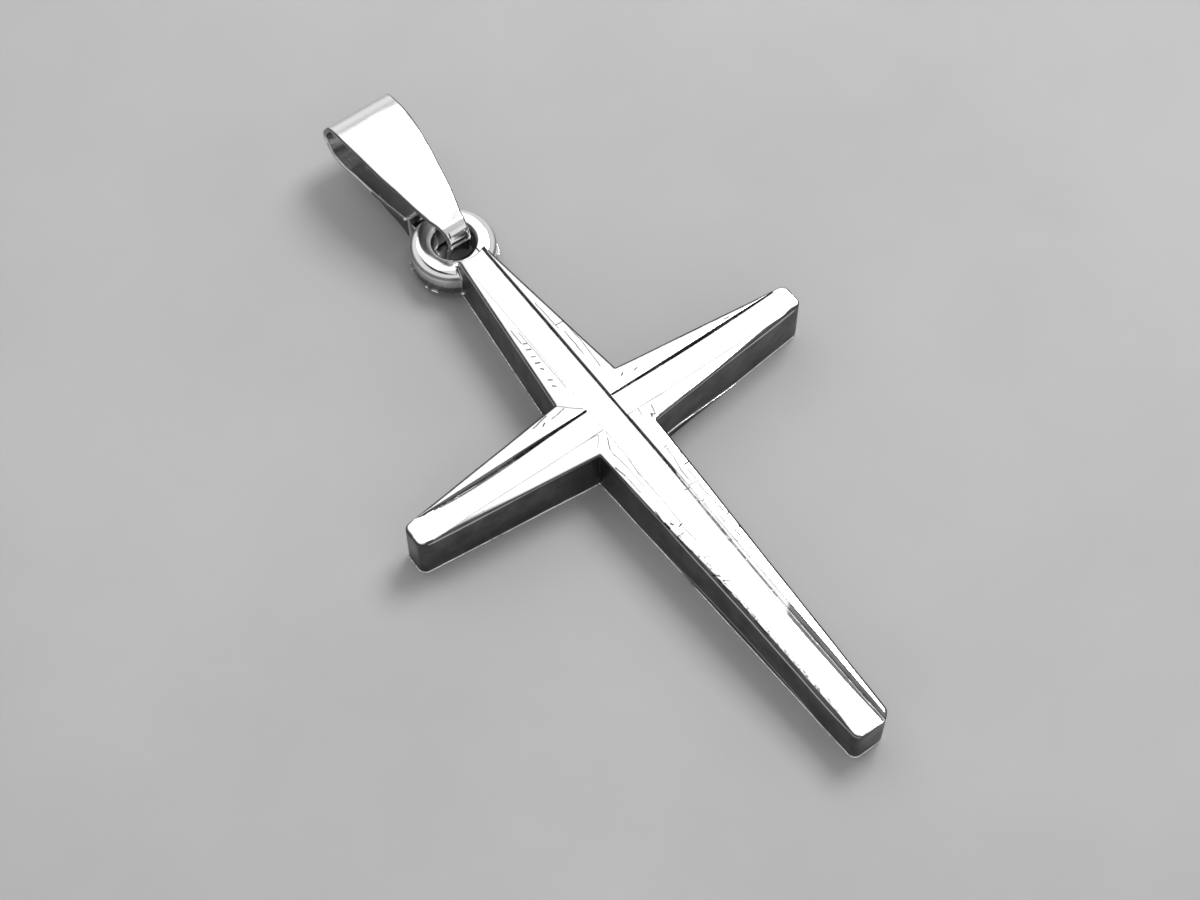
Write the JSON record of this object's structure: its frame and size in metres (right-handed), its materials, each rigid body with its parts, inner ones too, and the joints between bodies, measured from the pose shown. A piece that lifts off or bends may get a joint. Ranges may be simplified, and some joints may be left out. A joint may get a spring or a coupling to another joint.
{
  "type": "cross pendant",
  "caption": "Small silver cross pendant with tapered arms, a sunk band along their middle, and a folded sheet bail that swings on a ring at the head.",
  "frame": {"origin": "the crossing of the arms, on the flat back", "axes": "+X across the side arms, +Y from the foot towards the ring and the bail, +Z out of the front, up as it lies"},
  "size_m": [0.02, 0.037, 0.0039],
  "materials": {
    "cross_silver": "polished silver, with fine wear marks on the facets",
    "bail_silver": "polished silver sheet"
  },
  "bodies": {
    "cross": {"cross": "cross_silver"},
    "bail": {"bail": "bail_silver"}
  },
  "joints": [
    {"name": "bail_swing", "type": "hinge", "parent": "cross", "child": "bail", "pos_m": [0, 0.01288, 0.002], "axis": [1, 0, 0], "range_deg": [-10, 75]}
  ]
}
